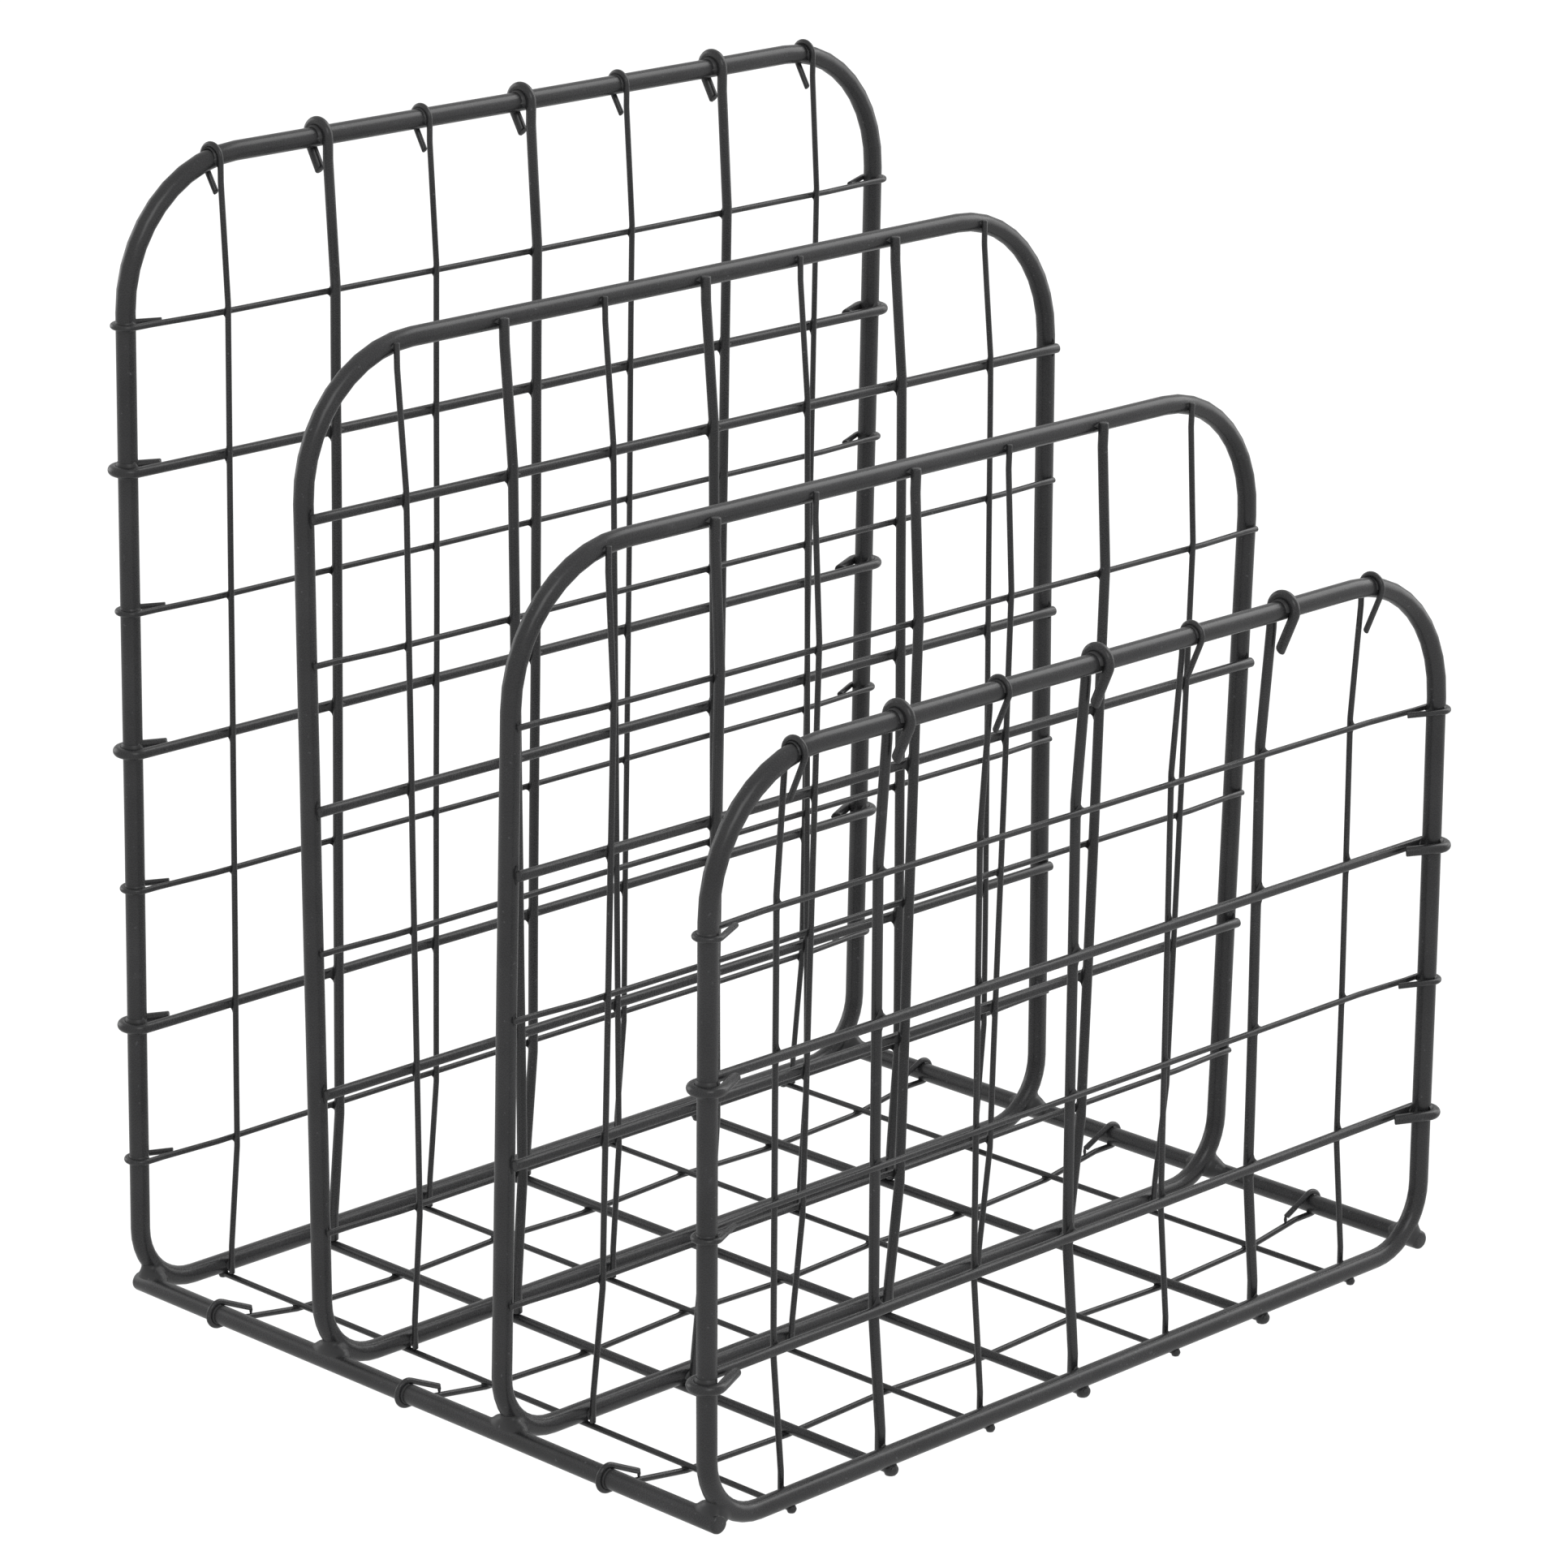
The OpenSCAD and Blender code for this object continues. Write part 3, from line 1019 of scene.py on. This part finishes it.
@dataclass
class Rails:
    """The two bars that the panels stand on, and the spread welds where the lower bends meet them."""

    layout: Layout
    panels: list[Panel]
    overhang: float = 0.5 * MM
    end_round: float = 0.36
    weld_reach: float = 9 * MM
    weld_turn: float = 34.0
    blob_along: float = 5.6 * MM
    blob_across: float = 3.4 * MM
    blob_thick: float = 2.3 * MM
    spatter_count: int = 4
    spatter_reach: tuple[float, float, float] = (7 * MM, 3 * MM, 1.2 * MM)
    spatter_radius: float = 0.9 * MM
    spatter_swing: float = 0.5 * MM
    voxel: float = 0.35 * MM
    smoothing: int = 40

    @property
    def rail_end(self) -> float:
        """Distance of the rails' ends from the middle."""
        return max(p.place_y for p in self.panels) + Gauge.BAR.radius + self.overhang

    def build_rail(self, side: int) -> bpy.types.Mesh:
        """Cuts one rail and rounds its ends."""
        size = self.layout
        end = self.rail_end
        bender = WireBender(Gauge.BAR, Vector((side * size.rail_x, -end, size.rail_z)), Vector((0, 1, 0)))
        bender.feed(2 * end)
        bender.cut(self.end_round)
        return to_mesh(bender.mesh, f"coated_{'left' if side < 0 else 'right'}_rail")

    def lay_weld(self, target: bmesh.types.BMesh, panel: Panel, side: int) -> None:
        """Lays the rough metal of one weld: a length of rail and of bend, a blob between them and spatter.

        Args:
            target: The bmesh that gets it.
            panel: The panel whose lower bend is welded.
            side: -1 for the left rail, 1 for the right one.
        """
        size = self.layout
        bar = Gauge.BAR
        end = self.rail_end
        low_y = max(-end, panel.place_y - self.weld_reach)
        high_y = min(end, panel.place_y + self.weld_reach)
        rail = WireBender(bar, Vector((side * size.rail_x, low_y, size.rail_z)), Vector((0, 1, 0)))
        rail.feed(high_y - low_y)
        rail.cut(self.end_round)
        pour(rail.mesh, target)
        centre = panel.spot(side * (size.leg_x - size.foot_bend), 0, size.foot_bend)
        away = Vector((side * math.sqrt(0.5), 0, 0)) - panel.up * math.sqrt(0.5)
        down = -panel.up * math.sqrt(0.5) - Vector((side * math.sqrt(0.5), 0, 0))
        axis = away.cross(down).normalized()
        back = Matrix.Rotation(-math.radians(self.weld_turn), 3, axis)
        bend = WireBender(bar, centre + back @ away * size.foot_bend, back @ down)
        bend.turn(centre, 2 * math.radians(self.weld_turn))
        bend.cut()
        pour(bend.mesh, target)
        contact = centre + away * (size.foot_bend + bar.radius)
        rail_way = Vector((0, 1, 0))
        turned = Matrix((rail_way, down, away)).transposed().to_4x4()
        blob = Matrix.Diagonal((self.blob_along, self.blob_across, self.blob_thick, 1.0))
        metal = bmesh.ops.create_icosphere(
            target, subdivisions=3, radius=1.0, matrix=Matrix.Translation(contact) @ turned @ blob
        )["verts"]
        outward = math.copysign(1, panel.place_y)
        room = min(self.blob_along, end - abs(panel.place_y))
        for vertex in metal:
            past = max(0.0, (vertex.co.y - contact.y) * outward)
            vertex.co.y -= outward * past * (1 - room / self.blob_along)
        for i in range(self.spatter_count):
            seed = Vector((panel.rank * 3.7 + i * 1.9, side * 2.1, 0.5))
            drift = noise.noise_vector(seed)
            along, across, out = self.spatter_reach
            shift = rail_way * drift.x * along + down * drift.y * across + away * drift.z * out
            drop_radius = self.spatter_radius + self.spatter_swing * noise.noise(seed * 1.3)
            place = contact + shift
            place.y = max(drop_radius - end, min(end - drop_radius, place.y))
            drop = Matrix.Translation(place) @ Matrix.Scale(drop_radius, 4)
            bmesh.ops.create_icosphere(target, subdivisions=2, radius=1.0, matrix=drop)

    def build_welds(self) -> bpy.types.Mesh:
        """Melts the rough welds: remeshed to one skin each, and smoothed to flow into the bars."""
        rough = bmesh.new()
        for panel in self.panels:
            for side in (-1, 1):
                self.lay_weld(rough, panel, side)
        bmesh.ops.recalc_face_normals(rough, faces=rough.faces)
        carrier = bpy.data.meshes.new("rough_welds")
        rough.to_mesh(carrier)
        rough.free()
        pot = bpy.data.objects.new("melting_pot", carrier)
        bpy.context.scene.collection.objects.link(pot)
        skin = pot.modifiers.new("skin", "REMESH")
        skin.mode = "VOXEL"
        skin.voxel_size = self.voxel
        flow = pot.modifiers.new("flow", "SMOOTH")
        flow.factor = 0.5
        flow.iterations = self.smoothing
        graph = bpy.context.evaluated_depsgraph_get()
        molten = bpy.data.meshes.new_from_object(pot.evaluated_get(graph))
        bpy.data.objects.remove(pot)
        bpy.data.meshes.remove(carrier)
        melted = bmesh.new()
        melted.from_mesh(molten)
        bpy.data.meshes.remove(molten)
        return to_mesh(melted, "spread_rail_welds", 180.0)

    def dress(self, shop: PaintShop) -> None:
        """Builds the rails and their welds and coats them."""
        shop.coat("coated_left_rail", self.build_rail(-1), Slot.BAR, "left_rail")
        shop.coat("coated_right_rail", self.build_rail(1), Slot.BAR, "right_rail")
        shop.coat("spread_rail_welds", self.build_welds(), Slot.WELD, "rail_welds")


@dataclass(frozen=True)
class Softbox:
    """A square soft light that looks at the middle of the organizer, in metres and watts."""

    name: str
    place: tuple[float, float, float]
    width: float
    power: float
    aim: tuple[float, float, float] = (0.0, 0.0, 0.1)

    def hang(self) -> None:
        """Hangs the light."""
        lamp = bpy.data.lights.new(self.name, "AREA")
        lamp.shape = "SQUARE"
        lamp.size = self.width
        lamp.energy = self.power
        box = bpy.data.objects.new(self.name, lamp)
        bpy.context.scene.collection.objects.link(box)
        box.location = self.place
        way = Vector(self.aim) - Vector(self.place)
        box.rotation_euler = way.to_track_quat("-Z", "Y").to_euler()


@dataclass
class Studio:
    """The light table that the organizer stands on, the soft lights round it, and the camera."""

    image_px: float = 1932.0
    focal_px: float = 7476.13
    sensor_mm: float = 36.0
    camera_mm: tuple[float, float, float] = (-983.61, -958.14, 555.04)
    azimuth: float = -45.66
    elevation: float = 17.26
    roll: float = 0.67
    table_half: float = 6.0
    surround: float = 0.69

    def lay_table(self) -> None:
        """Lays the opal sheet. Only the camera sees it, so it throws no light up at the wires."""
        sheet = bmesh.new()
        bmesh.ops.create_grid(sheet, x_segments=1, y_segments=1, size=self.table_half)
        mesh = bpy.data.meshes.new("light_table")
        sheet.to_mesh(mesh)
        sheet.free()
        table = bpy.data.objects.new("light_table", mesh)
        bpy.context.scene.collection.objects.link(table)
        mesh.materials.append(LightTable().material())
        table.visible_diffuse = False
        table.visible_glossy = False

    def hang_lights(self) -> None:
        """Hangs the softboxes and lights the surround."""
        Softbox("high_softbox", (1.15, -0.2, 1.25), 1.0, 7.3).hang()
        Softbox("left_softbox", (-0.4, 1.5, 0.5), 1.0, 4.0).hang()
        Softbox("right_softbox", (1.5, -0.4, 0.5), 1.0, 4.0).hang()
        Softbox("front_softbox", (-0.6, -1.1, 1.15), 0.7, 3.2).hang()
        world = bpy.data.worlds.new("pale_surround")
        world.use_nodes = True
        world.node_tree.nodes["Background"].inputs["Color"].default_value = linear("#ffffff")
        world.node_tree.nodes["Background"].inputs["Strength"].default_value = self.surround
        bpy.context.scene.world = world

    def set_camera(self) -> None:
        """Sets up the camera at the photograph's viewing angle."""
        azimuth = math.radians(self.azimuth)
        elevation = math.radians(self.elevation)
        roll = math.radians(self.roll)
        level = math.cos(elevation)
        back = Vector((math.sin(azimuth) * level, -math.cos(azimuth) * level, math.sin(elevation)))
        right = (-back).cross(Vector((0, 0, 1))).normalized()
        down = (-back).cross(right)
        tilted_right = right * math.cos(roll) - down * math.sin(roll)
        tilted_down = right * math.sin(roll) + down * math.cos(roll)
        lens = bpy.data.cameras.new("camera")
        lens.sensor_fit = "HORIZONTAL"
        lens.sensor_width = self.sensor_mm
        lens.lens = self.focal_px / self.image_px * self.sensor_mm
        lens.clip_start = 0.05
        lens.clip_end = 50.0
        camera = bpy.data.objects.new("camera", lens)
        bpy.context.scene.collection.objects.link(camera)
        turned = Matrix((tilted_right, -tilted_down, back)).transposed().to_4x4()
        camera.matrix_world = Matrix.Translation(Vector(self.camera_mm) * MM) @ turned
        bpy.context.scene.camera = camera
        bpy.context.scene.view_settings.view_transform = "Standard"

    def set_up(self) -> None:
        """Sets up the whole studio."""
        self.lay_table()
        self.hang_lights()
        self.set_camera()


def main() -> None:
    """Builds the sub-assemblies round the frame, and the studio."""
    logging.basicConfig(level=logging.INFO, format="%(name)s: %(message)s")
    # Unseeded, the noise vectors take their offsets from the clock, and no two runs are alike.
    noise.seed_set(NOISE_SEED)
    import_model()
    layout = Layout()
    shop = PaintShop()
    shop.mix()
    near = layout.middle_pitch / 2
    far = near + layout.outer_pitch
    panels = [
        Panel(layout, PanelName.BACK, rank=0, place_y=far, lean=0.5, hooked=True, upright_slant=32.0),
        Panel(layout, PanelName.REAR_DIVIDER, rank=1, place_y=near, lean=-0.9, hooked=False, top_thick=True),
        Panel(layout, PanelName.FRONT_DIVIDER, rank=2, place_y=-near, lean=1.2, hooked=False),
        Panel(layout, PanelName.FRONT, rank=3, place_y=-far, lean=-0.5, hooked=True, upright_slant=24.0),
    ]
    for panel in panels:
        panel.dress(shop)
    Rails(layout, panels).dress(shop)
    Floor(layout, [p.place_y for p in panels]).dress(shop)
    Studio().set_up()


if __name__ == "__main__":
    main()
